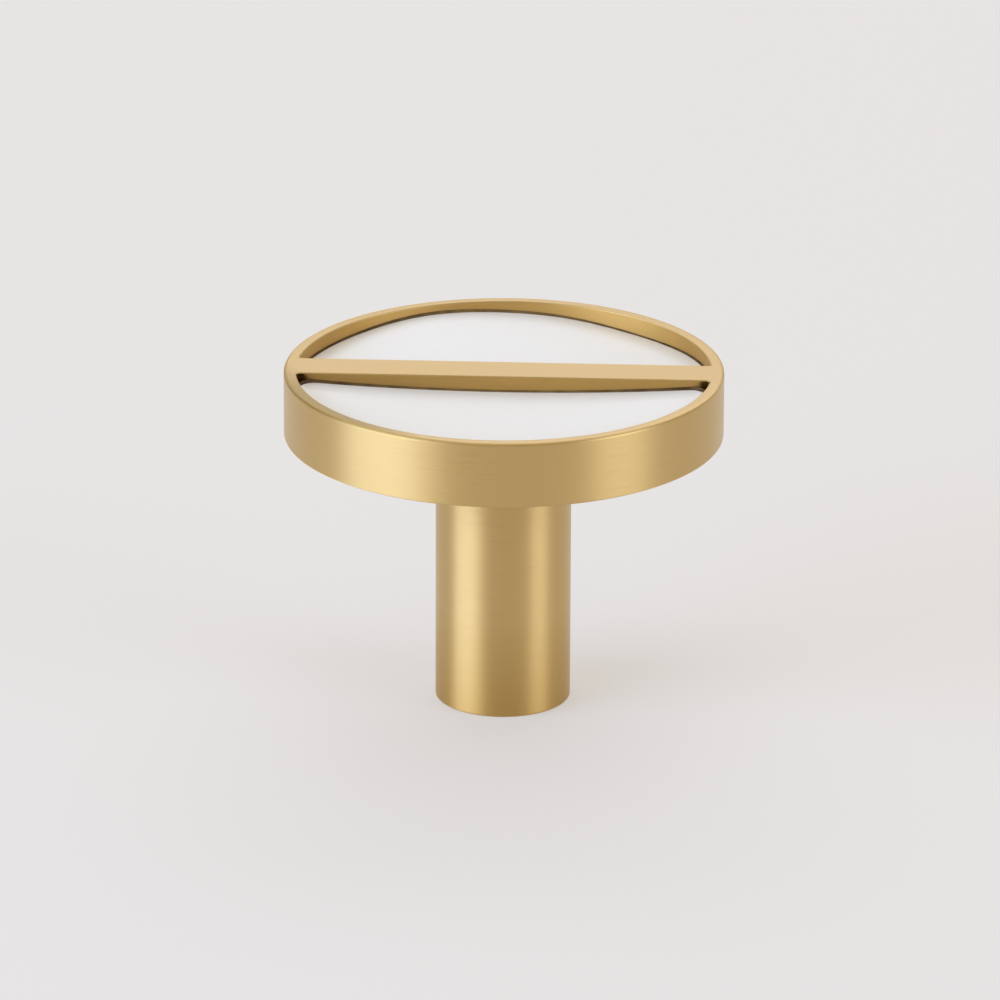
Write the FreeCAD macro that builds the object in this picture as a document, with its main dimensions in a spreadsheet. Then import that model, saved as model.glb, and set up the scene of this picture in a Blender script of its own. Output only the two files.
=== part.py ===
import FreeCAD, Part
import math
import os

import Sketcher

# Cabinet knob: a round brass head on a plain brass stem. Two half-round pockets are milled in the
# face of the head, so that a narrow rim and a flush crossbar are left, and each is filled white.
# The origin is the centre of the stem's lower end, which seats on the drawer front. Z runs up the
# stem to the face, and the crossbar lies along X. Millimetres and degrees.

SIZES = (
    ("projection", 30.0, "drawer front to the face of the rim"),
    ("head_diameter", 38.0, "outside of the head"),
    ("head_height", 5.7, "face of the rim to the underside"),
    ("rim_wall", 1.05, "rim between the pockets and the outside"),
    ("bar_width", 3.8, "crossbar, from pocket to pocket"),
    ("corner_radius", 0.3, "the fine end mill's radius in the corners of a pocket"),
    ("fill_recess", 1.25, "face of the rim down to the white fill"),
    ("fill_thickness", 1.0, "white fill, down to the floor of its pocket"),
    ("web", 1.05, "brass left between a pocket's floor and the socket for the stem"),
    ("face_break", 0.25, "broken outer edge of the face"),
    ("pocket_break", 0.1, "broken edge around each pocket"),
    ("under_break", 0.1, "broken outer edge of the underside"),
    ("stem_diameter", 11.75, "side of the stem, turned from 12 mm round bar"),
    ("stem_end_break", 0.2, "broken edge at the drawer front"),
    ("shoulder", 2.0, "step from the side of the stem in to its spigot"),
    ("spigot_break", 0.3, "broken edge of the spigot, and of the socket's mouth"),
    ("joint_gap", 0.05, "room for the brazing metal around the spigot"),
    ("socket_relief", 0.2, "room between the spigot's end and the socket's floor"),
    ("thread_depth", 12.0, "full thread for the drawer screw"),
    ("tap_runout", 2.0, "tapping hole past the full thread, without its drill point"),
    ("drill_point", 118.0, "whole angle of the cone that the drill leaves"),
    ("mouth_diameter", 4.6, "countersink at the mouth of the thread"),
    ("mouth_angle", 90.0, "whole angle of that countersink"),
)
THREAD = "M4x0.7"

# Places that follow from the sizes.
UNDERSIDE = "sizes.projection - sizes.head_height"
POCKET_DEPTH = "sizes.fill_recess + sizes.fill_thickness"
POCKET_FLOOR = "sizes.projection - sizes.fill_recess - sizes.fill_thickness"
SOCKET_DEPTH = "sizes.head_height - sizes.fill_recess - sizes.fill_thickness - sizes.web"
SPIGOT_RADIUS = "sizes.stem_diameter / 2 - sizes.shoulder"
SOCKET_RADIUS = SPIGOT_RADIUS + " + sizes.joint_gap"
SPIGOT_END = UNDERSIDE + " + " + SOCKET_DEPTH + " - sizes.socket_relief"

# How a sketch numbers the ends of a line or an arc, and its own two axes.
START, END, CENTRE = range(1, 4)
ACROSS_AXIS, UP_AXIS = range(-1, -3, -1)
ORIGIN = (ACROSS_AXIS, START)

doc = FreeCAD.newDocument("cabinet_knob")
sheet = doc.addObject("Spreadsheet::Sheet", "sizes")
for row, (alias, value, meaning) in enumerate(SIZES, start=1):
    sheet.set(f"A{row}", meaning)
    sheet.set(f"B{row}", str(value))
    sheet.setAlias(f"B{row}", alias)
doc.recompute()


def new_body(label):
    body = doc.addObject("PartDesign::Body", label)
    body.Label = label
    return body


def origin_plane(body, role):
    return next(feature for feature in body.Origin.OriginFeatures if feature.Role == role)


def sketch_on(body, name, role):
    sketch = body.newObject("Sketcher::SketchObject", name)
    sketch.AttachmentSupport = [(origin_plane(body, role), "")]
    sketch.MapMode = "FlatFace"
    return sketch


def dimension(sketch, name, expression, *constraint):
    """Adds a named dimension to a sketch and ties it to the sheet."""
    index = sketch.addConstraint(Sketcher.Constraint(*constraint))
    sketch.renameConstraint(index, name)
    sketch.setExpression("Constraints." + name, expression)


def turned(body, name, corners):
    """Revolves a closed half-section about Z. Each corner has a name, a radius and a height.

    The outline starts as a rough ring of lines, and its dimensions pull each corner into place.
    """
    sketch = sketch_on(body, name + "_section", "XZ_Plane")
    step = 2 * math.pi / len(corners)
    ring = [FreeCAD.Vector(math.cos(i * step), math.sin(i * step), 0) for i in range(len(corners))]
    for start, end in zip(ring, ring[1:] + ring[:1]):
        sketch.addGeometry(Part.LineSegment(start, end), False)
    for line, (corner, radius, height) in enumerate(corners):
        before = (line - 1) % len(corners)
        sketch.addConstraint(Sketcher.Constraint("Coincident", before, END, line, START))
        if radius == "0":
            sketch.addConstraint(Sketcher.Constraint("PointOnObject", line, START, UP_AXIS))
        else:
            across = ("DistanceX", *ORIGIN, line, START, ring[line].x)
            dimension(sketch, corner + "_radius", radius, *across)
        if height == "0":
            sketch.addConstraint(Sketcher.Constraint("PointOnObject", line, START, ACROSS_AXIS))
        else:
            up = ("DistanceY", *ORIGIN, line, START, ring[line].y)
            dimension(sketch, corner + "_height", height, *up)
    turning = body.newObject("PartDesign::Revolution", name)
    turning.Profile = sketch
    turning.ReferenceAxis = (sketch, ["V_Axis"])
    turning.Angle = 360


def half_round(body, name):
    """Outline of the front pocket in the XY plane: a chord, the rim's arc and two corner arcs."""
    sketch = sketch_on(body, name, "XY_Plane")
    rim_radius = sheet.head_diameter / 2 - sheet.rim_wall
    corner_radius = sheet.corner_radius
    half_bar = sheet.bar_width / 2
    centre_y = half_bar + corner_radius
    centre_x = math.sqrt((rim_radius - corner_radius) ** 2 - centre_y ** 2)
    dip = math.atan2(centre_y, centre_x)

    def arc(x, y, radius, start, end):
        circle = Part.Circle(FreeCAD.Vector(x, y, 0), FreeCAD.Vector(0, 0, 1), radius)
        return sketch.addGeometry(Part.ArcOfCircle(circle, start, end), False)

    chord_start = FreeCAD.Vector(-centre_x, -half_bar, 0)
    chord_end = FreeCAD.Vector(centre_x, -half_bar, 0)
    chord = sketch.addGeometry(Part.LineSegment(chord_start, chord_end), False)
    rim = arc(0, 0, rim_radius, math.pi + dip, 2 * math.pi - dip)
    right = arc(centre_x, -centre_y, corner_radius, -dip, math.pi / 2)
    left = arc(-centre_x, -centre_y, corner_radius, math.pi / 2, math.pi + dip)
    sketch.addConstraint([
        Sketcher.Constraint("Coincident", rim, CENTRE, *ORIGIN),
        Sketcher.Constraint("Tangent", rim, END, right, START),
        Sketcher.Constraint("Tangent", right, END, chord, END),
        Sketcher.Constraint("Tangent", chord, START, left, START),
        Sketcher.Constraint("Tangent", left, END, rim, START),
        Sketcher.Constraint("Horizontal", chord),
        Sketcher.Constraint("Equal", left, right),
    ])
    rim_expression = "sizes.head_diameter / 2 - sizes.rim_wall"
    dimension(sketch, "rim_radius", rim_expression, "Radius", rim, rim_radius)
    dimension(sketch, "corner_radius", "sizes.corner_radius", "Radius", right, corner_radius)
    chord_drop = ("DistanceY", chord, START, *ORIGIN, half_bar)
    dimension(sketch, "half_bar", "sizes.bar_width / 2", *chord_drop)
    return sketch


# Head: the disc is turned with its socket, the front pocket is milled and mirrored behind the
# crossbar, and the sharp edges around both pockets are broken.
head = new_body("head")
head.setExpression("Placement.Base.z", UNDERSIDE)
turned(head, "disc", (
    ("socket_centre", "0", SOCKET_DEPTH),
    ("socket_corner", SOCKET_RADIUS, SOCKET_DEPTH),
    ("socket_wall", SOCKET_RADIUS, "sizes.spigot_break"),
    ("socket_mouth", SOCKET_RADIUS + " + sizes.spigot_break", "0"),
    ("underside_edge", "sizes.head_diameter / 2 - sizes.under_break", "0"),
    ("side_foot", "sizes.head_diameter / 2", "sizes.under_break"),
    ("side_top", "sizes.head_diameter / 2", "sizes.head_height - sizes.face_break"),
    ("face_edge", "sizes.head_diameter / 2 - sizes.face_break", "sizes.head_height"),
    ("face_centre", "0", "sizes.head_height"),
))
pocket_outline = half_round(head, "pocket_outline")
pocket_outline.setExpression("AttachmentOffset.Base.z", "sizes.head_height")
front_pocket = head.newObject("PartDesign::Pocket", "front_pocket")
front_pocket.Profile = pocket_outline
front_pocket.setExpression("Length", POCKET_DEPTH)
back_pocket = head.newObject("PartDesign::Mirrored", "back_pocket")
back_pocket.Originals = [front_pocket]
back_pocket.MirrorPlane = (origin_plane(head, "XZ_Plane"), [""])
head.Tip = back_pocket
doc.recompute()


def pocket_mouths(shape):
    """Names of the edges of the face that lie inside the rim: the outlines of both pockets."""
    tolerance = 1e-6
    mid_rim = (sheet.head_diameter - sheet.rim_wall) / 2
    names = []
    for number, edge in enumerate(shape.Edges, start=1):
        in_face = all(abs(end.Z - sheet.head_height) < tolerance for end in edge.Vertexes)
        inside_rim = all(math.hypot(end.X, end.Y) < mid_rim for end in edge.Vertexes)
        if in_face and inside_rim:
            names.append(f"Edge{number}")
    return names


edge_breaks = head.newObject("PartDesign::Chamfer", "edge_breaks")
edge_breaks.Base = (back_pocket, pocket_mouths(back_pocket.Shape))
edge_breaks.setExpression("Size", "sizes.pocket_break")
head.Tip = edge_breaks

# Stem: a length of round bar, turned down to its spigot, then drilled and tapped from below.
stem = new_body("stem")
turned(stem, "bar", (
    ("end_centre", "0", "0"),
    ("end_edge", "sizes.stem_diameter / 2 - sizes.stem_end_break", "0"),
    ("side_foot", "sizes.stem_diameter / 2", "sizes.stem_end_break"),
    ("shoulder_edge", "sizes.stem_diameter / 2", UNDERSIDE),
    ("spigot_root", SPIGOT_RADIUS, UNDERSIDE),
    ("spigot_side", SPIGOT_RADIUS, SPIGOT_END + " - sizes.spigot_break"),
    ("spigot_edge", SPIGOT_RADIUS + " - sizes.spigot_break", SPIGOT_END),
    ("spigot_centre", "0", SPIGOT_END),
))
drill_spot = sketch_on(stem, "drill_spot", "XY_Plane")
spot_circle = Part.Circle(FreeCAD.Vector(0, 0, 0), FreeCAD.Vector(0, 0, 1), sheet.mouth_diameter / 2)
spot = drill_spot.addGeometry(spot_circle, False)
drill_spot.addConstraint(Sketcher.Constraint("Coincident", spot, CENTRE, *ORIGIN))
dimension(drill_spot, "mouth", "sizes.mouth_diameter", "Diameter", spot, sheet.mouth_diameter)
doc.recompute()
screw_hole = stem.newObject("PartDesign::Hole", "screw_hole")
screw_hole.Profile = drill_spot
screw_hole.Reversed = True
screw_hole.ThreadType = "ISOMetricProfile"
screw_hole.ThreadSize = THREAD
screw_hole.Threaded = True
screw_hole.DepthType = "Dimension"
screw_hole.DrillPoint = "Angled"
screw_hole.ThreadDepthType = "Dimension"
screw_hole.HoleCutType = "Countersink"
screw_hole.setExpression("Depth", "sizes.thread_depth + sizes.tap_runout")
screw_hole.setExpression("ThreadDepth", "sizes.thread_depth")
screw_hole.setExpression("DrillPointAngle", "sizes.drill_point")
screw_hole.setExpression("HoleCutDiameter", "sizes.mouth_diameter")
screw_hole.setExpression("HoleCutCountersinkAngle", "sizes.mouth_angle")

# White fills: each is poured into its pocket, so it has the pocket's outline and lies on its floor.
pieces = [head, stem]
for label, turn in (("inlay_front", 0), ("inlay_back", 180)):
    fill = new_body(label)
    fill.Placement.Rotation = FreeCAD.Rotation(FreeCAD.Vector(0, 0, 1), turn)
    fill.setExpression("Placement.Base.z", POCKET_FLOOR)
    layer = fill.newObject("PartDesign::Pad", label + "_layer")
    layer.Profile = half_round(fill, label + "_outline")
    layer.setExpression("Length", "sizes.fill_thickness")
    pieces.append(fill)
doc.recompute()

for item in doc.Objects:
    if "Invalid" in item.State or "Error" in item.State:
        raise RuntimeError(f"{item.Name} failed: {item.State}")
for piece in pieces:
    if piece.Shape.isNull() or not piece.Shape.isValid() or len(piece.Shape.Solids) != 1:
        raise RuntimeError(f"{piece.Label} is not one valid solid")

os.makedirs("parts", exist_ok=True)
for piece in pieces:
    piece.Shape.exportStep(os.path.join("parts", piece.Label + ".step"))
    print(piece.Label, round(piece.Shape.Volume, 1), "cubic millimetres")
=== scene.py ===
import math

import bmesh
import bpy
from mathutils import Matrix, Vector


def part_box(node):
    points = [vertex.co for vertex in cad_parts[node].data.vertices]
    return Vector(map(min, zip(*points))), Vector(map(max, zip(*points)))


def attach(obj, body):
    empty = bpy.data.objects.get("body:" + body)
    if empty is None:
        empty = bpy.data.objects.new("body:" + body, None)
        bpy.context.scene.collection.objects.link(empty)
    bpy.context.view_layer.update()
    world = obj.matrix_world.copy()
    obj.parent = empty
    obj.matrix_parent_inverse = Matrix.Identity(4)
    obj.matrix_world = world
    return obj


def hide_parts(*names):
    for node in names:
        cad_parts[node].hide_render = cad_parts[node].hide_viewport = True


# Round brass cabinet knob: a brushed stem, a brushed head with two half-round pockets, and white
# fills in the pockets. Metres, Z up from the drawer front, the crossbar along X.
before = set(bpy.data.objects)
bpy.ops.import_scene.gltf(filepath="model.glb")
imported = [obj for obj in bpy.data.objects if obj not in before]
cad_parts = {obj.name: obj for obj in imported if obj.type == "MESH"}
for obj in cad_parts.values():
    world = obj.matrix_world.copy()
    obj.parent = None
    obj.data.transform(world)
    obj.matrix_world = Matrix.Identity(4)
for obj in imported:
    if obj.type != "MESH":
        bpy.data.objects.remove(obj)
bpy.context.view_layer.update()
MM = 0.001

# Stem: turned from 12 mm brass bar, with a spigot at the top that is brazed into the head, and
# drilled, tapped M4 and countersunk from below. Its side is brushed with a belt as it turns
# in the lathe, so fine hairlines run around it, and the whole knob is clear lacquered.
STEM_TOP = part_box("stem")[1]
HEAD_LOW, HEAD_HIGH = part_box("head")
STEM_RADIUS = STEM_TOP.x
SPIGOT_TOP = STEM_TOP.z
UNDERSIDE = HEAD_LOW.z
SHOULDER = 2.0 * MM
SPIGOT_RADIUS = STEM_RADIUS - SHOULDER
FOOT_RING = STEM_RADIUS - 1.0 * MM
STEM_END_BREAK = 0.2 * MM
SPIGOT_BREAK = 0.3 * MM
ROUND_STEPS = 256
BREAK_STEPS = 4
CUT_EDGE = math.radians(30)
WELD = 0.001 * MM
NEAR = 0.01 * MM
Z_AXIS = Vector((0, 0, 1))

PITCH = 0.7 * MM
THREAD_RADIUS = 2.0 * MM
TAP_RADIUS = 1.65 * MM
THREAD_FLANK = math.radians(30)
MOUTH_RADIUS = 2.3 * MM
HOLE_REACH = THREAD_RADIUS + 0.1 * MM
FULL_THREAD = 12.0 * MM
DRILLED = 14.0 * MM
DRILL_POINT = math.radians(118)
THREAD_STEPS = 48
SPARE_TURNS = 3

BRASS = (0.655, 0.465, 0.19, 1)
BRASS_SHADE = (0.635, 0.448, 0.18, 1)
BLACK = (0, 0, 0, 1)
HAIRLINE = 0.08 * MM
HAIRLINE_LENGTH = 1.6 * MM
HAIRLINE_DEPTH = 0.01 * MM
CLOUD = 5 * MM
CLOUD_SHARE = 0.35
NOISE_SPAN = (0.3, 0.7)
STREAKS = (0.35, 0.65)
SCRATCHES = (0.62, 0.72)
SCRATCH_LENGTH = 2.5
SCRATCHED = 0.05
UNEVEN = 0.03
LACQUER_ROUGHNESS = 0.3
LACQUER_IOR = 1.5
# Painted shade at the stem's foot.
FOOT_PAINTED_SHADE = (0.58, 0.38, 0.125, 1)
FOOT_ROUGHNESS = 0.52
FOOT_REACH = 9.0 * MM

# A Mix node numbers its colour sockets so.
FIRST_COLOUR, SECOND_COLOUR, MIXED_COLOUR = 6, 7, 2


def drawn(mesh, section):
    """Draws a half-section, a list of radii and heights, beside the knob's axis."""
    corners = [mesh.verts.new((radius, 0, height)) for radius, height in section]
    lines = [mesh.edges.new(pair) for pair in zip(corners, corners[1:])]
    return corners + lines


def turned(mesh, section):
    """Turns a half-section once around the knob's axis."""
    bmesh.ops.spin(mesh, geom=drawn(mesh, section), cent=(0, 0, 0), axis=Z_AXIS,
                   angle=math.tau, steps=ROUND_STEPS, use_merge=True)
    bmesh.ops.remove_doubles(mesh, verts=mesh.verts, dist=WELD)


def ring(mesh, radius, height):
    """The edges of one turned corner."""
    def on_corner(vertex):
        return abs(vertex.co.xy.length - radius) < NEAR and abs(vertex.co.z - height) < NEAR
    return [edge for edge in mesh.edges if all(on_corner(vertex) for vertex in edge.verts)]


def break_edge(mesh, edges, size):
    """Rounds a sharp edge, as a file or a tumbler does."""
    bmesh.ops.bevel(mesh, geom=edges, offset=size, offset_type="OFFSET", segments=BREAK_STEPS,
                    profile=0.5, affect="EDGES", material=-1)


def open_edges(mesh, height):
    """The edges at one height that still have a face on one side only."""
    def at_height(edge):
        return all(abs(vertex.co.z - height) < NEAR for vertex in edge.verts)
    return [edge for edge in mesh.edges if edge.is_boundary and at_height(edge)]


def only(kind, parts):
    """The vertices, or the faces, among what an operator gives back."""
    return [part for part in parts if isinstance(part, kind)]


def piece(mesh, name, finishes):
    """Makes a closed mesh into a piece of the knob, smooth over rounded edges, crisp at cuts."""
    bmesh.ops.recalc_face_normals(mesh, faces=mesh.faces)
    for face in mesh.faces:
        face.smooth = True
    for edge in mesh.edges:
        edge.smooth = edge.calc_face_angle(0) < CUT_EDGE
    data = bpy.data.meshes.new(name)
    mesh.to_mesh(data)
    mesh.free()
    for finish in finishes:
        data.materials.append(finish.material)
    made = bpy.data.objects.new(name, data)
    bpy.context.scene.collection.objects.link(made)
    flats = made.modifiers.new("flats_stay_flat", "WEIGHTED_NORMAL")
    flats.weight = 100
    flats.keep_sharp = True
    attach(made, "root")
    return made


class Finish:
    """A surface finish that is put together node by node."""

    def __init__(self, name):
        self.material = bpy.data.materials.new(name)
        self.material.use_nodes = True
        self.nodes = self.material.node_tree.nodes
        self.links = self.material.node_tree.links
        self.shader = self.nodes["Principled BSDF"]
        self.place = self.nodes.new("ShaderNodeTexCoord").outputs["Object"]

    def put(self, value, socket):
        """Feeds a socket with another node's output, or with a plain value."""
        if isinstance(value, bpy.types.NodeSocket):
            self.links.new(value, socket)
        else:
            socket.default_value = value

    def feed(self, name, value):
        """Feeds one of the shader's own sockets."""
        self.put(value, self.shader.inputs[name])

    def vector(self, operation, *values, output="Vector"):
        """Works out a place or a direction from others."""
        node = self.nodes.new("ShaderNodeVectorMath")
        node.operation = operation
        for value, socket in zip(values, node.inputs):
            self.put(value, socket)
        return node.outputs[output]

    def scaled(self, place, factor):
        """A place times a factor, which may differ from spot to spot."""
        node = self.vector("SCALE", place).node
        self.put(factor, node.inputs["Scale"])
        return node.outputs["Vector"]

    def along(self, direction, place):
        """How far a place lies along a direction."""
        return self.vector("DOT_PRODUCT", place, direction, output="Value")

    def noise(self, place, size, detail):
        """Smooth noise from 0 to 1, whose blots are about size across."""
        node = self.nodes.new("ShaderNodeTexNoise")
        node.inputs["Scale"].default_value = 1 / size
        node.inputs["Detail"].default_value = detail
        self.put(place, node.inputs["Vector"])
        return node.outputs["Fac"]

    def blend(self, share, first, second):
        """A number between two others."""
        node = self.nodes.new("ShaderNodeMix")
        node.data_type = "FLOAT"
        for value, name in ((share, "Factor"), (first, "A"), (second, "B")):
            self.put(value, node.inputs[name])
        return node.outputs["Result"]

    def tint(self, share, first, second):
        """A colour between two others."""
        node = self.nodes.new("ShaderNodeMix")
        node.data_type = "RGBA"
        self.put(share, node.inputs["Factor"])
        self.put(first, node.inputs[FIRST_COLOUR])
        self.put(second, node.inputs[SECOND_COLOUR])
        return node.outputs[MIXED_COLOUR]

    def spread(self, value, low, high, new_low=0, new_high=1):
        """Takes low to new_low and high to new_high, and stays between the two."""
        node = self.nodes.new("ShaderNodeMapRange")
        for number, socket in zip((value, low, high, new_low, new_high), node.inputs):
            self.put(number, socket)
        return node.outputs["Result"]

    def relief(self, height, depth, strength):
        """Makes the surface look uneven, by height, from 0 to 1, over depth."""
        node = self.nodes.new("ShaderNodeBump")
        node.inputs["Strength"].default_value = strength
        node.inputs["Distance"].default_value = depth
        self.put(height, node.inputs["Height"])
        self.feed("Normal", node.outputs["Normal"])


def brushed_brass(name, lay, bright=BRASS, shade=BRASS_SHADE, roughness=0.42, anisotropy=0.8,
                  relief=0.08, lacquer=0.2):
    """Satin brass under clear lacquer. The lay of its hairlines is round, along or level."""
    finish = Finish(name)
    facing = finish.nodes.new("ShaderNodeNewGeometry").outputs["Normal"]
    fine, long = 1 / HAIRLINE, 1 / HAIRLINE_LENGTH
    if lay == "round":
        flat = finish.vector("MULTIPLY", finish.place, (1, 1, 0))
        outward = finish.scaled((0, 0, fine), finish.vector("LENGTH", flat, output="Value"))
        stretched = finish.vector("MULTIPLY_ADD", finish.place, (long, long, fine), outward)
        groove = finish.vector("CROSS_PRODUCT", Z_AXIS, finish.place)
    elif lay == "along":
        stretched = finish.vector("MULTIPLY", finish.place, (long, fine, fine))
        groove = (1, 0, 0)
    else:
        stretched = finish.vector("MULTIPLY", finish.place, (long, long, fine))
        groove = finish.vector("CROSS_PRODUCT", Z_AXIS, facing)
    hairlines = finish.noise(stretched, 1.0, 3)
    clouds = finish.noise(finish.place, CLOUD, 2)
    streaks = finish.blend(CLOUD_SHARE, hairlines, clouds)
    brushed = finish.tint(finish.spread(streaks, *STREAKS), shade, bright)
    scratches = finish.noise(finish.scaled(stretched, 1 / SCRATCH_LENGTH), 1.0, 1)
    scratched = finish.spread(scratches, *SCRATCHES, 0, SCRATCHED)
    finish.colour = finish.tint(scratched, brushed, BLACK)
    finish.feed("Base Color", finish.colour)
    finish.uneven = finish.spread(streaks, *NOISE_SPAN, roughness - UNEVEN, roughness + UNEVEN)
    finish.feed("Roughness", finish.uneven)
    finish.relief(hairlines, HAIRLINE_DEPTH, relief)
    finish.feed("Tangent", finish.vector("CROSS_PRODUCT", facing, groove))
    finish.feed("Metallic", 1)
    finish.feed("Anisotropic", anisotropy)
    finish.feed("Coat Weight", lacquer)
    finish.feed("Coat Roughness", LACQUER_ROUGHNESS)
    finish.feed("Coat IOR", LACQUER_IOR)
    return finish


STEM_BRASS = brushed_brass("brass_stem", "round")

# Towards the foot the brass is painted darker, a painted shade for the darker floor it reflects
# there, and its brushing is coarser.
height = STEM_BRASS.along(Z_AXIS, STEM_BRASS.place)
foot = STEM_BRASS.spread(height, 0, FOOT_REACH, 1, 0)
STEM_BRASS.feed("Base Color", STEM_BRASS.tint(foot, STEM_BRASS.colour, FOOT_PAINTED_SHADE))
STEM_BRASS.feed("Roughness", STEM_BRASS.blend(foot, STEM_BRASS.uneven, FOOT_ROUGHNESS))

stem_mesh = bmesh.new()
turned(stem_mesh, (
    (FOOT_RING, 0),
    (STEM_RADIUS, 0),
    (STEM_RADIUS, UNDERSIDE),
    (SPIGOT_RADIUS, UNDERSIDE),
    (SPIGOT_RADIUS, SPIGOT_TOP),
    (0, SPIGOT_TOP),
))
break_edge(stem_mesh, ring(stem_mesh, STEM_RADIUS, 0), STEM_END_BREAK)
break_edge(stem_mesh, ring(stem_mesh, SPIGOT_RADIUS, SPIGOT_TOP), SPIGOT_BREAK)

# The tapped hole: one pitch of the thread's outline is swept up a helix, from below the foot to
# above the drilled depth, and the ends are cut off square.
flank = (THREAD_RADIUS - TAP_RADIUS) * math.tan(THREAD_FLANK)
root_flat = PITCH / 8
crest_flat = PITCH - root_flat - 2 * flank
outline = [(TAP_RADIUS, -2 * PITCH)]
for radius, rise in ((TAP_RADIUS, crest_flat), (THREAD_RADIUS, flank),
                     (THREAD_RADIUS, root_flat), (TAP_RADIUS, flank)):
    outline.append((radius, outline[-1][1] + rise))
turns = math.ceil(DRILLED / PITCH) + SPARE_TURNS
bmesh.ops.spin(stem_mesh, geom=drawn(stem_mesh, outline), cent=(0, 0, 0), axis=Z_AXIS,
               dvec=(0, 0, PITCH / THREAD_STEPS), angle=turns * math.tau,
               steps=turns * THREAD_STEPS)
bmesh.ops.remove_doubles(stem_mesh, verts=stem_mesh.verts, dist=WELD)


def in_hole(mesh):
    """Everything inside the stem's tapped hole."""
    near = {vertex for vertex in mesh.verts if 0 < vertex.co.xy.length < HOLE_REACH}
    edges = [edge for edge in mesh.edges if all(vertex in near for vertex in edge.verts)]
    faces = [face for face in mesh.faces if all(vertex in near for vertex in face.verts)]
    return list(near) + edges + faces


for end, outwards in ((0, -Z_AXIS), (DRILLED, Z_AXIS)):
    bmesh.ops.bisect_plane(stem_mesh, geom=in_hole(stem_mesh), plane_co=(0, 0, end),
                           plane_no=outwards, clear_outer=True)

# The thread runs out above its full length, and the countersink opens it at the mouth.
for vertex in stem_mesh.verts:
    if vertex.co.xy.length < HOLE_REACH and vertex.co.z < DRILLED + PITCH:
        radius = vertex.co.xy.length
        past_thread = (vertex.co.z - FULL_THREAD) / (DRILLED - FULL_THREAD)
        cut = radius + (TAP_RADIUS - radius) * min(max(past_thread, 0), 1)
        cut = max(cut, MOUTH_RADIUS - vertex.co.z)
        vertex.co.xy = vertex.co.xy * (cut / radius)
cone = bmesh.ops.extrude_edge_only(stem_mesh, edges=open_edges(stem_mesh, DRILLED))
tip = Vector((0, 0, DRILLED + TAP_RADIUS / math.tan(DRILL_POINT / 2)))
bmesh.ops.pointmerge(stem_mesh, verts=only(bmesh.types.BMVert, cone["geom"]), merge_co=tip)
bmesh.ops.triangle_fill(stem_mesh, edges=open_edges(stem_mesh, 0), use_beauty=True,
                        normal=-Z_AXIS)
stem = piece(stem_mesh, "stem_turned", [STEM_BRASS])
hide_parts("stem")

# Head: a turned brass disc, bored below for the stem's spigot. Two half-round pockets are end
# milled in its face, so a narrow rim and a flush crossbar are left, and the edges are broken.
# The rim's side is brushed around like the stem, and the face is brushed along the crossbar.
FILL_LOW, FILL_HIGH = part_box("inlay_front")
HEAD_RADIUS = HEAD_HIGH.x
FACE = HEAD_HIGH.z
POCKET_RADIUS = -FILL_LOW.y
HALF_BAR = -FILL_HIGH.y
CORNER_RADIUS = 0.3 * MM
CORNER_X = math.sqrt(POCKET_RADIUS ** 2 - HALF_BAR ** 2)
POCKET_FLOOR = FILL_LOW.z
JOINT_GAP = 0.05 * MM
SOCKET_RELIEF = 0.2 * MM
SOCKET_RADIUS = SPIGOT_RADIUS + JOINT_GAP
SOCKET_TOP = SPIGOT_TOP + SOCKET_RELIEF
FACE_BREAK = 0.25 * MM
UNDER_BREAK = 0.1 * MM
POCKET_BREAK = 0.1 * MM
FACE_RING = HEAD_RADIUS - 3 * FACE_BREAK
RIM_STEPS = 120
CORNER_STEPS = 8

FACE_BRIGHT = (0.61, 0.435, 0.172, 1)
FACE_SHADE = (0.59, 0.415, 0.162, 1)
MILLED_BRIGHT = (0.61, 0.395, 0.125, 1)
MILLED_SHADE = (0.57, 0.365, 0.115, 1)
# Edges rubbed bright, partly a painted highlight where they catch the light.
RUBBED_HIGHLIGHT_BRIGHT = (0.69, 0.505, 0.215, 1)
RUBBED_HIGHLIGHT_SHADE = (0.66, 0.48, 0.20, 1)
# Painted shade on the rim at the front left.
DULL_PAINTED_SHADE = (0.43, 0.30, 0.085, 1)
DULL_ROUGHNESS = 0.6
DULL_SIDE = Vector((-0.819, -0.574, 0))
FULLY_DULL = HEAD_RADIUS - 1.1 * MM
# Painted shade in the corners beside the crossbar, and in the seam towards the corners.
SHADE_BROWN = (0.045, 0.02, 0.003, 1)
PALE_BROWN = (0.13, 0.075, 0.018, 1)
CORNER_BLOT = 0.5 * MM
BLOT_EDGE = (0.4, 0.6)
CORNER_RAGGED = 0.6 * MM
CORNER_DEEP = (0.5 * MM, 0.3 * MM)
CORNER_LONG = (0.75 * MM, 0.4 * MM)
LEFT_DARKENING_SHARES = (0.35, 0.08)


def arc(mesh, start, centre, angle, steps):
    """Draws on from the vertex start around centre, and gives the arc's last vertex."""
    swept = bmesh.ops.spin(mesh, geom=[start], cent=centre, axis=Z_AXIS, angle=angle, steps=steps)
    return swept["geom_last"][0]


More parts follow.
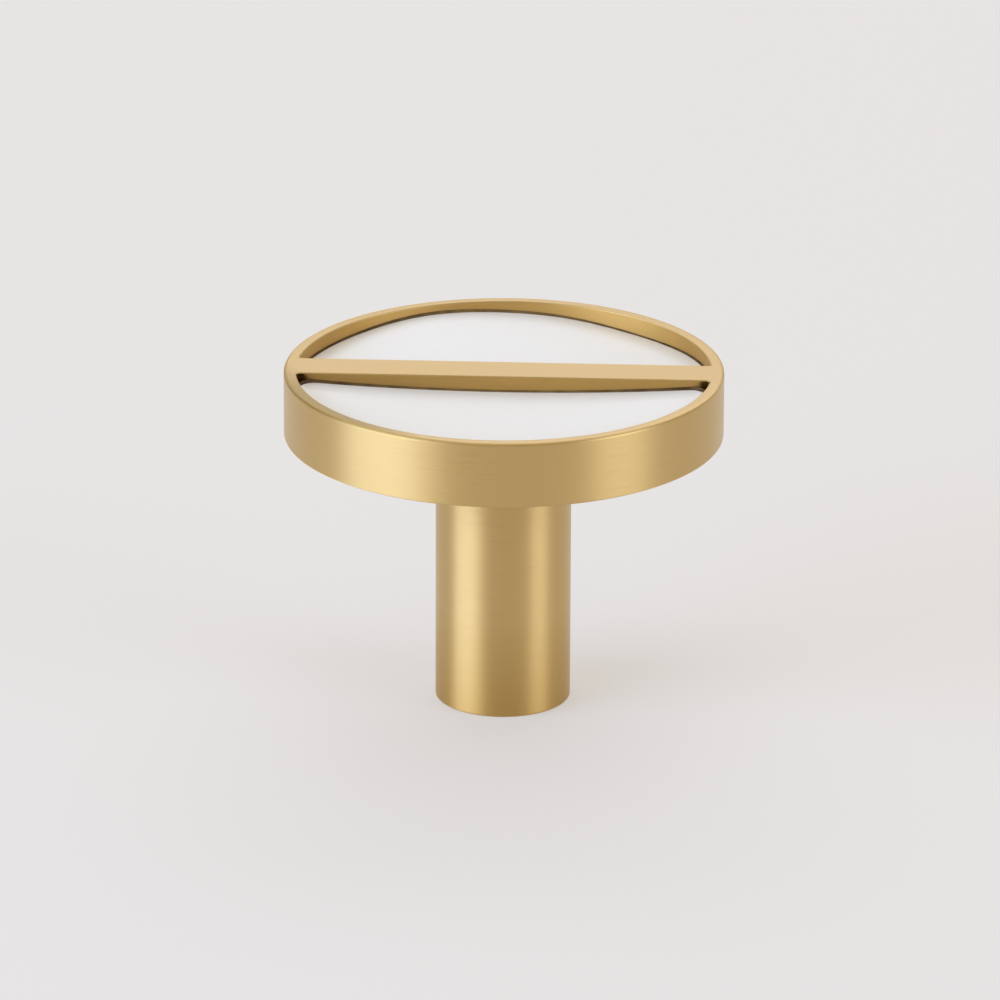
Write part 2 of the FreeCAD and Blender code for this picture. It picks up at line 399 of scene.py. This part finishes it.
def half_round(mesh, radius, half_bar, corner, height):
    """Draws and fills the front pocket's outline: the rim's arc, a corner, the chord, a corner."""
    centre = Vector((0, -half_bar - corner, height))
    centre.x = math.sqrt((radius - corner) ** 2 - centre.y ** 2)
    dip = math.atan2(-centre.y, centre.x)
    start = mesh.verts.new((-radius * math.cos(dip), -radius * math.sin(dip), height))
    tip = arc(mesh, start, (0, 0, height), math.pi - 2 * dip, RIM_STEPS)
    tip = arc(mesh, tip, centre, math.pi / 2 + dip, CORNER_STEPS)
    chord_end = mesh.verts.new((-centre.x, -half_bar, height))
    mesh.edges.new((tip, chord_end))
    arc(mesh, chord_end, (-centre.x, centre.y, height), math.pi / 2 + dip, CORNER_STEPS)
    joins = {vertex for edge in mesh.edges if not edge.link_faces for vertex in edge.verts}
    bmesh.ops.remove_doubles(mesh, verts=list(joins), dist=WELD)
    outline = [edge for edge in mesh.edges if not edge.link_faces]
    face = bmesh.ops.contextual_create(mesh, geom=outline)["faces"][0]
    if face.normal.z < 0:
        face.normal_flip()
    return face


def quarter_turn():
    """The steps of a rounded edge of size 1: how far each goes on, and how far it turns away."""
    angles = [math.pi / 2 * step / BREAK_STEPS for step in range(BREAK_STEPS + 1)]
    for now, then in zip(angles, angles[1:]):
        yield math.sin(then) - math.sin(now), math.cos(now) - math.cos(then)


head_mesh = bmesh.new()
mouth = half_round(head_mesh, POCKET_RADIUS + POCKET_BREAK, HALF_BAR - POCKET_BREAK,
                   CORNER_RADIUS + POCKET_BREAK, FACE)
for inward, down in quarter_turn():
    bmesh.ops.inset_region(head_mesh, faces=[mouth], use_boundary=True, use_even_offset=True,
                           thickness=POCKET_BREAK * inward, depth=-POCKET_BREAK * down)
bmesh.ops.inset_region(head_mesh, faces=[mouth], thickness=0, use_boundary=True,
                       depth=POCKET_FLOOR - FACE + POCKET_BREAK)
bmesh.ops.mirror(head_mesh, geom=head_mesh.verts[:] + head_mesh.edges[:] + head_mesh.faces[:],
                 matrix=Matrix.Identity(4), merge_dist=0, axis="Y")
turned(head_mesh, (
    (0, SOCKET_TOP),
    (SOCKET_RADIUS, SOCKET_TOP),
    (SOCKET_RADIUS, UNDERSIDE + SPIGOT_BREAK),
    (SOCKET_RADIUS + SPIGOT_BREAK, UNDERSIDE),
    (HEAD_RADIUS, UNDERSIDE),
    (HEAD_RADIUS, FACE),
    (FACE_RING, FACE),
))
break_edge(head_mesh, ring(head_mesh, HEAD_RADIUS, UNDERSIDE), UNDER_BREAK)
break_edge(head_mesh, ring(head_mesh, HEAD_RADIUS, FACE), FACE_BREAK)
bmesh.ops.triangle_fill(head_mesh, edges=open_edges(head_mesh, FACE), use_beauty=True,
                        normal=Z_AXIS)

# The broken edges of the pocket mouths and under the head are rubbed bright, partly a painted
# highlight.
TURNED, BRUSHED_FACE, MILLED, RUBBED_HIGHLIGHT = range(4)
for face in head_mesh.faces:
    centre = face.calc_center_median()
    in_pocket = centre.xy.length < POCKET_RADIUS + POCKET_BREAK
    if centre.z > FACE - WELD:
        face.material_index = BRUSHED_FACE
    elif centre.z > FACE - POCKET_BREAK and in_pocket:
        face.material_index = RUBBED_HIGHLIGHT
    elif centre.z > POCKET_FLOOR - WELD and in_pocket:
        face.material_index = MILLED
    elif centre.z < UNDERSIDE + UNDER_BREAK and centre.xy.length > HEAD_RADIUS - UNDER_BREAK:
        face.material_index = RUBBED_HIGHLIGHT
    else:
        face.material_index = TURNED
SIDE_BRASS = brushed_brass("brass_side", "round")
FACE_BRASS = brushed_brass("brass_face", "along", FACE_BRIGHT, FACE_SHADE, relief=0.04,
                           lacquer=0.75)
MILLED_BRASS = brushed_brass("brass_milled", "level", MILLED_BRIGHT, MILLED_SHADE,
                             roughness=0.58, anisotropy=0.35, relief=0.06, lacquer=0.05)
RUBBED_HIGHLIGHT_BRASS = brushed_brass("brass_rubbed_edge_highlight", "along", RUBBED_HIGHLIGHT_BRIGHT, RUBBED_HIGHLIGHT_SHADE,
                             roughness=0.6)

# At the front left the narrow rim and its top edge are painted darker, a painted shade, and are
# rougher there.
for finish, fade, least, most in ((FACE_BRASS, 4.0 * MM, 0, 1), (SIDE_BRASS, 7.0 * MM, 0.08, 0.8)):
    leftward = finish.along(DULL_SIDE, finish.place)
    toward_dull_side = finish.spread(leftward, HEAD_RADIUS - fade, FULLY_DULL, least, most)
    height = finish.along(Z_AXIS, finish.place)
    at_top = finish.spread(height, FACE - FACE_BREAK, FACE - FACE_BREAK / 2)
    dull = finish.blend(toward_dull_side, 0.0, at_top)
    finish.feed("Base Color", finish.tint(dull, finish.colour, DULL_PAINTED_SHADE))
    finish.feed("Roughness", finish.blend(dull, finish.uneven, DULL_ROUGHNESS))

# Painted shade darkens the four sharp corners beside the crossbar, with a ragged edge, and the
# bar's sides are a little darker along the bar, darkest at its left end.
away = MILLED_BRASS.vector("ABSOLUTE", MILLED_BRASS.place)
across = MILLED_BRASS.along((0, 1, 0), away)
outward = MILLED_BRASS.along((1, 0, 0), away)
right = MILLED_BRASS.along((1, 0, 0), MILLED_BRASS.place)
blots = MILLED_BRASS.noise(MILLED_BRASS.place, CORNER_BLOT, 2)
ragged = MILLED_BRASS.blend(CORNER_RAGGED, outward, blots)
beside_bar = MILLED_BRASS.spread(across, *(HALF_BAR + deep for deep in CORNER_DEEP))
at_end = MILLED_BRASS.spread(ragged, *(CORNER_X - reach for reach in CORNER_LONG))
corner_shade = MILLED_BRASS.blend(beside_bar, 0.0, at_end)
brown = MILLED_BRASS.tint(MILLED_BRASS.spread(blots, *BLOT_EDGE), SHADE_BROWN, PALE_BROWN)
left_darkening = MILLED_BRASS.blend(beside_bar, 0.0, MILLED_BRASS.spread(right, -CORNER_X, 0, *LEFT_DARKENING_SHARES))
dulled = MILLED_BRASS.tint(left_darkening, MILLED_BRASS.colour, PALE_BROWN)
MILLED_BRASS.feed("Base Color", MILLED_BRASS.tint(corner_shade, dulled, brown))
head = piece(head_mesh, "head_turned", [SIDE_BRASS, FACE_BRASS, MILLED_BRASS, RUBBED_HIGHLIGHT_BRASS])
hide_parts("head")

# White fills: cold resin enamel, poured into each pocket and left to level, with a slightly
# uneven top. Along the walls its rounded edge is a thin dark seam: partly a dark joint, partly
# painted shade where the walls shade it, painted darker towards the sharp corners.
FILL_TOP = FILL_HIGH.z
FILL_GAP = 0.01 * MM
FILL_CORNER = 1.6 * MM
SEAM_WIDTH = 0.16 * MM
SEAM_RISE = 0.18 * MM
CELL = 1.0 * MM
FRONT_SINK = 0.13 * MM
FRONT_RISE = 0.66 * MM
BACK_SINK = 0.03 * MM
BACK_WAVES = ((0.45 * MM, 38 * MM, 4.5 * MM), (0.07 * MM, 15 * MM, -5.5 * MM))

FILL_WHITE = (0.82, 0.835, 0.805, 1)
FILL_SHADE = (0.80, 0.815, 0.785, 1)
FILL_CLOUD = 6 * MM
FILL_RIPPLE = 1.5 * MM
FILL_ROUGHNESS = (0.30, 0.42)
RIPPLE_DEPTH = 0.02 * MM
RIPPLE_STRENGTH = 0.3
SEAM_BROWN = (0.20, 0.125, 0.042, 1)
SEAM_BLOT = 1.2 * MM
SEAM_ENDS = (5 * MM, 14 * MM)
SEAM_DARK = (0.15, 0.75)
SEAM_PATCHY = 0.3
SEAM_ROUGHNESS = 0.6
SEAM_SPECULAR = 0.2


def white_enamel():
    """Smooth white resin with the faintest unevenness of a poured surface."""
    finish = Finish("white_enamel")
    clouds = finish.noise(finish.place, FILL_CLOUD, 3)
    ripple = finish.noise(finish.place, FILL_RIPPLE, 2)
    finish.feed("Base Color", finish.tint(clouds, FILL_SHADE, FILL_WHITE))
    finish.feed("Roughness", finish.spread(ripple, *NOISE_SPAN, *FILL_ROUGHNESS))
    finish.relief(ripple, RIPPLE_DEPTH, RIPPLE_STRENGTH)
    return finish


def dark_seam():
    """The seam: a thin brown dark joint with painted shade in it, blotchy, and darker towards the
    sharp corners.
    """
    finish = Finish("seam_joint_and_shade")
    blots = finish.noise(finish.place, SEAM_BLOT, 2)
    sideways = finish.along((1, 0, 0), finish.vector("ABSOLUTE", finish.place))
    corner_darkening = finish.spread(sideways, *SEAM_ENDS, *SEAM_DARK)
    patchy = finish.blend(SEAM_PATCHY, corner_darkening, finish.spread(blots, *BLOT_EDGE))
    finish.feed("Base Color", finish.tint(patchy, SEAM_BROWN, SHADE_BROWN))
    finish.feed("Roughness", SEAM_ROUGHNESS)
    finish.feed("Specular IOR Level", SEAM_SPECULAR)
    return finish


def front_dip(x, y):
    """How far the front fill lies below its plane: deepest at the middle of the crossbar."""
    share = (y - FILL_LOW.y) / (FILL_HIGH.y - FILL_LOW.y)
    return share * (FRONT_SINK - FRONT_RISE * (x / POCKET_RADIUS) ** 2)


def back_dip(x, y):
    """How far the back fill lies below its plane: a slow wave along the rim, and a faster one."""
    share = (y + FILL_HIGH.y) / (FILL_HIGH.y - FILL_LOW.y)
    waves = sum(depth * math.sin(math.tau * (x - start) / length)
                for depth, length, start in BACK_WAVES)
    return share * (waves + BACK_SINK)


ENAMEL, SEAM = range(2)
FINISHES = [white_enamel(), dark_seam()]
for name, node, at_back, dip in (("fill_front", "inlay_front", False, front_dip),
                                 ("fill_back", "inlay_back", True, back_dip)):
    fill_mesh = bmesh.new()
    floor_face = half_round(fill_mesh, POCKET_RADIUS - FILL_GAP, HALF_BAR + FILL_GAP,
                            FILL_CORNER, POCKET_FLOOR)
    raised = bmesh.ops.extrude_face_region(fill_mesh, geom=[floor_face], use_keep_orig=True)
    bmesh.ops.translate(fill_mesh, verts=only(bmesh.types.BMVert, raised["geom"]),
                        vec=(0, 0, FILL_TOP - POCKET_FLOOR + SEAM_RISE))
    top = only(bmesh.types.BMFace, raised["geom"])
    for down, inward in quarter_turn():
        bmesh.ops.inset_region(fill_mesh, faces=top, use_boundary=True, use_even_offset=True,
                               thickness=SEAM_WIDTH * inward, depth=-SEAM_RISE * down)
    for across, low, high in ((Vector((1, 0, 0)), -POCKET_RADIUS, POCKET_RADIUS),
                              (Vector((0, 1, 0)), -POCKET_RADIUS, 0)):
        for cut in range(math.ceil(low / CELL), math.ceil(high / CELL)):
            everything = fill_mesh.verts[:] + fill_mesh.edges[:] + fill_mesh.faces[:]
            bmesh.ops.bisect_plane(fill_mesh, geom=everything, plane_co=across * cut * CELL,
                                   plane_no=across)
    if at_back:
        bmesh.ops.rotate(fill_mesh, verts=fill_mesh.verts, cent=(0, 0, 0),
                         matrix=Matrix.Rotation(math.pi, 3, "Z"))
    for face in fill_mesh.faces:
        off_top = abs(face.calc_center_median().z - FILL_TOP) > WELD
        face.material_index = SEAM if off_top else ENAMEL
    for vertex in fill_mesh.verts:
        share_up = (vertex.co.z - POCKET_FLOOR) / (FILL_TOP - POCKET_FLOOR)
        vertex.co.z -= share_up * dip(vertex.co.x, vertex.co.y)
    fill = piece(fill_mesh, name, FINISHES)
    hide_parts(node)

# Floor and light: a plain pale table, a large soft box on each side with a narrow panel beside
# the left one, another high behind and one overhead, and an even dim room around them.
FLOOR_PALE = (0.80, 0.787, 0.767, 1)
FLOOR_SIZE = 3.0
FLOOR_GRAIN = 4 * MM
FLOOR_ROUGHNESS = (0.85, 0.95)
FLOOR_SPECULAR = 0.1
SHADOW_LIFT = 0.5
ROOM = (0.53, 0.46, 0.38, 1)


def stand_off(azimuth, elevation, distance):
    """The place and turn of something that looks at the knob from around it."""
    middle = Matrix.Translation((0, 0, FACE / 2))
    around = Matrix.Rotation(math.radians(azimuth), 4, "Z")
    up = Matrix.Rotation(math.radians(90 - elevation), 4, "X")
    return middle @ around @ up @ Matrix.Translation((0, 0, distance))


def soft_box(name, azimuth, elevation, distance, width, height, radiance, colour):
    """A lamp that faces the knob. Radiance is how bright its front looks, whatever its size."""
    light = bpy.data.lights.new(name, "AREA")
    light.shape = "RECTANGLE"
    light.size, light.size_y = width, height
    light.energy = 4 * width * height * radiance
    light.color = colour
    lamp = bpy.data.objects.new(name, light)
    lamp.matrix_world = stand_off(azimuth, elevation, distance)
    bpy.context.scene.collection.objects.link(lamp)


floor_mesh = bmesh.new()
bmesh.ops.create_grid(floor_mesh, x_segments=1, y_segments=1, size=FLOOR_SIZE)
floor_data = bpy.data.meshes.new("floor")
floor_mesh.to_mesh(floor_data)
floor_mesh.free()
floor = bpy.data.objects.new("floor", floor_data)
bpy.context.scene.collection.objects.link(floor)
paper = Finish("floor_paper")
grain = paper.noise(paper.place, FLOOR_GRAIN, 3)
paper.feed("Base Color", FLOOR_PALE)
paper.feed("Roughness", paper.spread(grain, *NOISE_SPAN, *FLOOR_ROUGHNESS))
paper.feed("Specular IOR Level", FLOOR_SPECULAR)

# Straight from the camera, and in the brass, the paper looks half as dark in the knob's shadow.
rays = paper.nodes.new("ShaderNodeLightPath").outputs
seen = paper.blend(rays["Is Camera Ray"], rays["Is Glossy Ray"], 1.0)
glow = paper.nodes.new("ShaderNodeEmission")
glow.inputs["Color"].default_value = FLOOR_PALE
mixed = paper.nodes.new("ShaderNodeMixShader")
paper.put(paper.blend(seen, 0.0, SHADOW_LIFT), mixed.inputs[0])
paper.put(paper.shader.outputs["BSDF"], mixed.inputs[1])
paper.put(glow.outputs["Emission"], mixed.inputs[2])
paper.put(mixed.outputs["Shader"], paper.nodes["Material Output"].inputs["Surface"])
floor_data.materials.append(paper.material)

soft_box("left_soft_box", -64, 14, 1.0, 0.75, 0.66, 3.0, (1.0, 1.24, 1.85))
soft_box("left_side_panel", -38, 14, 1.0, 0.22, 0.66, 1.6, (1.0, 1.1, 1.3))
soft_box("right_soft_box", 65, 14, 1.0, 0.54, 0.66, 2.05, (1.0, 1.1, 1.4))
soft_box("back_soft_box", 180, 40, 1.2, 1.5, 0.8, 0.98, (1.0, 1.05, 1.15))
soft_box("top_soft_box", 0, 88, 1.2, 1.0, 1.0, 0.38, (1.0, 1.05, 1.15))

room = bpy.data.worlds.new("room")
bpy.context.scene.world = room
room.use_nodes = True
room.node_tree.nodes["Background"].inputs["Color"].default_value = ROOM
bpy.context.scene.view_settings.view_transform = "Standard"

# Camera: a long lens, a little to the right of straight on and looking down on the knob, placed
# so that the knob sits in the frame as in the photograph.
LENS = 306.2
SENSOR = 36
CAMERA_AZIMUTH = math.radians(2.65)
CAMERA_ELEVATION = math.radians(20.35)
CAMERA_ROLL = math.radians(0.226)
CAMERA_DISTANCE = 0.7332
AIM_RIGHT = 0.302 * MM
AIM_UP = 11.285 * MM
camera_data = bpy.data.cameras.new("camera")
camera_data.lens = LENS
camera_data.sensor_width = SENSOR
camera_data.clip_start = 10 * MM
camera = bpy.data.objects.new("camera", camera_data)
bpy.context.scene.collection.objects.link(camera)
turn = (Matrix.Rotation(CAMERA_AZIMUTH, 4, "Z")
        @ Matrix.Rotation(math.pi / 2 - CAMERA_ELEVATION, 4, "X"))
camera.matrix_world = (Matrix.Translation((0, 0, FACE)) @ turn
                       @ Matrix.Translation((-AIM_RIGHT, -AIM_UP, CAMERA_DISTANCE))
                       @ Matrix.Rotation(CAMERA_ROLL, 4, "Z"))
bpy.context.scene.camera = camera
